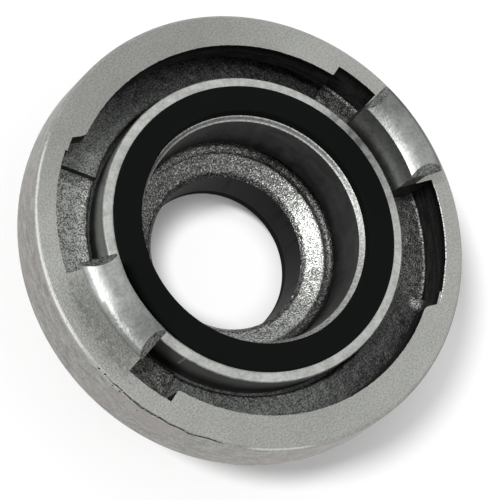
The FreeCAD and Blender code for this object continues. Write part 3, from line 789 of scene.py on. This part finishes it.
def finished_mesh(bm, name):
    """Turns the bmesh into a mesh that is shaded as the true surfaces."""
    bm.normal_update()
    normals = turned_normals(bm)
    mesh = bpy.data.meshes.new(name)
    bm.to_mesh(mesh)
    bm.free()
    mesh.normals_split_custom_set(normals)
    return mesh


def finish_piece(piece, slot, *nodes):
    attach(piece, BODY)
    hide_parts(*nodes)


class ADAPTER_OT_casting(bpy.types.Operator):
    """The casting with a finish for each of its surfaces"""

    bl_idname = "adapter.casting"
    bl_label = "Casting"

    def execute(self, context):
        scene = context.scene
        waterway = scene.adapter_waterway
        heads = (scene.adapter_large, scene.adapter_small)
        bm = joined_copy(frame["nodes"]["adapter_body"], [head.face for head in heads])
        bm.normal_update()
        for face in bm.faces:
            face.material_index = FINISHES.index(zone(Facet(face, heads), heads, waterway))
        for finish in RELIEF:
            roughen(bm, finish)
        for finish, width in RAGGED.items():
            ragged_edges(bm, finish, width)
        mesh = finished_mesh(bm, "adapter_casting")
        materials = casting_materials(scene.adapter_colours, *heads, waterway)
        for name in FINISHES:
            mesh.materials.append(materials[name])
        finish_piece(add_object("adapter_casting", mesh), "cast_aluminium", "adapter_body")
        return {"FINISHED"}


class ADAPTER_OT_seals(bpy.types.Operator):
    """The rubber ring in each head"""

    bl_idname = "adapter.seals"
    bl_label = "Seals"

    def execute(self, context):
        rubber = seal_rubber(context.scene.adapter_colours.rubber)
        for name in ("large_seal", "small_seal"):
            mesh = finished_mesh(joined_copy(frame["nodes"][name]), name + "_ring")
            mesh.materials.append(rubber)
            finish_piece(add_object(name + "_ring", mesh), "seal_rubber", name)
        return {"FINISHED"}


def aim(target, azimuth, elevation, distance, roll=0.0):
    """Placement that looks at the target from a direction, turned about its own line of sight."""
    back = Vector((math.cos(elevation) * math.cos(azimuth), math.cos(elevation) * math.sin(azimuth),
                   math.sin(elevation)))
    turn = back.to_track_quat("Z", "Y").to_matrix().to_4x4()
    return Matrix.Translation(target + back * distance) @ turn @ Matrix.Rotation(roll, 4, "Z")


def floor_material(stage):
    """White floor: part of its white doesn't depend on the lamps, and the rest takes the shadow.

    Where it shows through the waterway and little light falls, nearly all of it is its own, and away
    from the part on one side more of it is.
    """
    finish = Finish("white_floor")
    white = stage.floor_white
    lit = finish.node("ShaderNodeBsdfDiffuse", inputs={"Color": (white, white, white, 1)})
    glow = finish.node("ShaderNodeEmission", inputs={"Strength": 1.0})
    reach = NECK_RADIUS + stage.seen_margin
    seen = finish.step(finish.radius, reach + 1, reach - 1)
    seen = finish.step(seen * finish.near(stage.seen_x, stage.seen_y, stage.seen_reach), 0, 0.5)
    away = finish.step(finish.radius, stage.side_start, stage.side_full) * finish.side("bright_ground")
    own = stage.floor_light + away * stage.side_light + seen * (white - stage.floor_light)
    shader = finish.node("ShaderNodeMixShader", inputs={0: finish.seen_directly() * own, 1: lit, 2: glow})
    return finish.surface(shader)


def white_surroundings(level):
    """Soft light from all round, which the camera sees as white."""
    world = bpy.data.worlds.new("surroundings")
    bpy.context.scene.world = world
    nodes = Nodes(world)
    light = nodes.node("ShaderNodeBackground", inputs={"Color": (*WHITE, 1), "Strength": level})
    white = nodes.node("ShaderNodeBackground", inputs={"Color": (*WHITE, 1), "Strength": 1.0})
    choice = nodes.node("ShaderNodeMixShader", inputs={0: nodes.seen_directly(), 1: light, 2: white})
    nodes.node("ShaderNodeOutputWorld", inputs={"Surface": choice}, output=None)


class ADAPTER_OT_stage(bpy.types.Operator):
    """The floor, the lamps and the camera"""

    bl_idname = "adapter.stage"
    bl_label = "Stage"

    def execute(self, context):
        scene = context.scene
        stage = scene.adapter_stage
        look = Vector((stage.look_x, stage.look_y, LARGE_FACE)) * MM
        camera = bpy.data.cameras.new("view")
        camera.sensor_width = 36
        camera.lens = stage.lens
        camera.clip_start = 0.01
        place = add_object("view", camera)
        place.matrix_world = aim(look, stage.camera_azimuth, stage.camera_elevation,
                                 stage.camera_distance * MM, stage.camera_roll)
        scene.camera = place
        mesh = bpy.data.meshes.new("floor")
        bm = bmesh.new()
        bmesh.ops.create_grid(bm, x_segments=1, y_segments=1, size=stage.floor_size / 2 * MM)
        bm.to_mesh(mesh)
        bm.free()
        mesh.materials.append(floor_material(stage))
        add_object("floor", mesh)
        white_surroundings(stage.soft_light)
        key = bpy.data.lights.new("key", "SUN")
        key.energy = stage.key_strength
        key.angle = stage.key_spread
        add_object("key", key).matrix_world = aim(look, stage.key_azimuth, stage.key_elevation, 0.5)
        scene.view_settings.view_transform = "Standard"
        return {"FINISHED"}


class ADAPTER_PT_panel(bpy.types.Panel):
    """Lists the adapter's pieces, sizes and colours"""

    bl_idname = "ADAPTER_PT_panel"
    bl_label = "Reducing adapter"
    bl_space_type = "VIEW_3D"
    bl_region_type = "UI"
    bl_category = "Adapter"

    def draw(self, context):
        for piece in PIECES:
            self.layout.operator(piece.bl_idname)
        for group in (getattr(context.scene, name) for name in GROUPS):
            for name in group.bl_rna.properties.keys():
                if name not in ("name", "rna_type"):
                    self.layout.prop(group, name)


PIECES = (ADAPTER_OT_casting, ADAPTER_OT_seals, ADAPTER_OT_stage)
GROUPS = {
    "adapter_large": LargeHeadSizes,
    "adapter_small": SmallHeadSizes,
    "adapter_waterway": WaterwaySizes,
    "adapter_colours": AdapterColours,
    "adapter_stage": StageSizes,
}


def register():
    for name, group in GROUPS.items():
        bpy.utils.register_class(group)
        setattr(bpy.types.Scene, name, PointerProperty(type=group))
    for item in (*PIECES, ADAPTER_PT_panel):
        bpy.utils.register_class(item)


def unregister():
    for item in (ADAPTER_PT_panel, *reversed(PIECES)):
        bpy.utils.unregister_class(item)
    for name, group in GROUPS.items():
        delattr(bpy.types.Scene, name)
        bpy.utils.unregister_class(group)


def main():
    register()
    bpy.ops.adapter.casting()
    bpy.ops.adapter.seals()
    bpy.ops.adapter.stage()


if __name__ == "__main__":
    main()
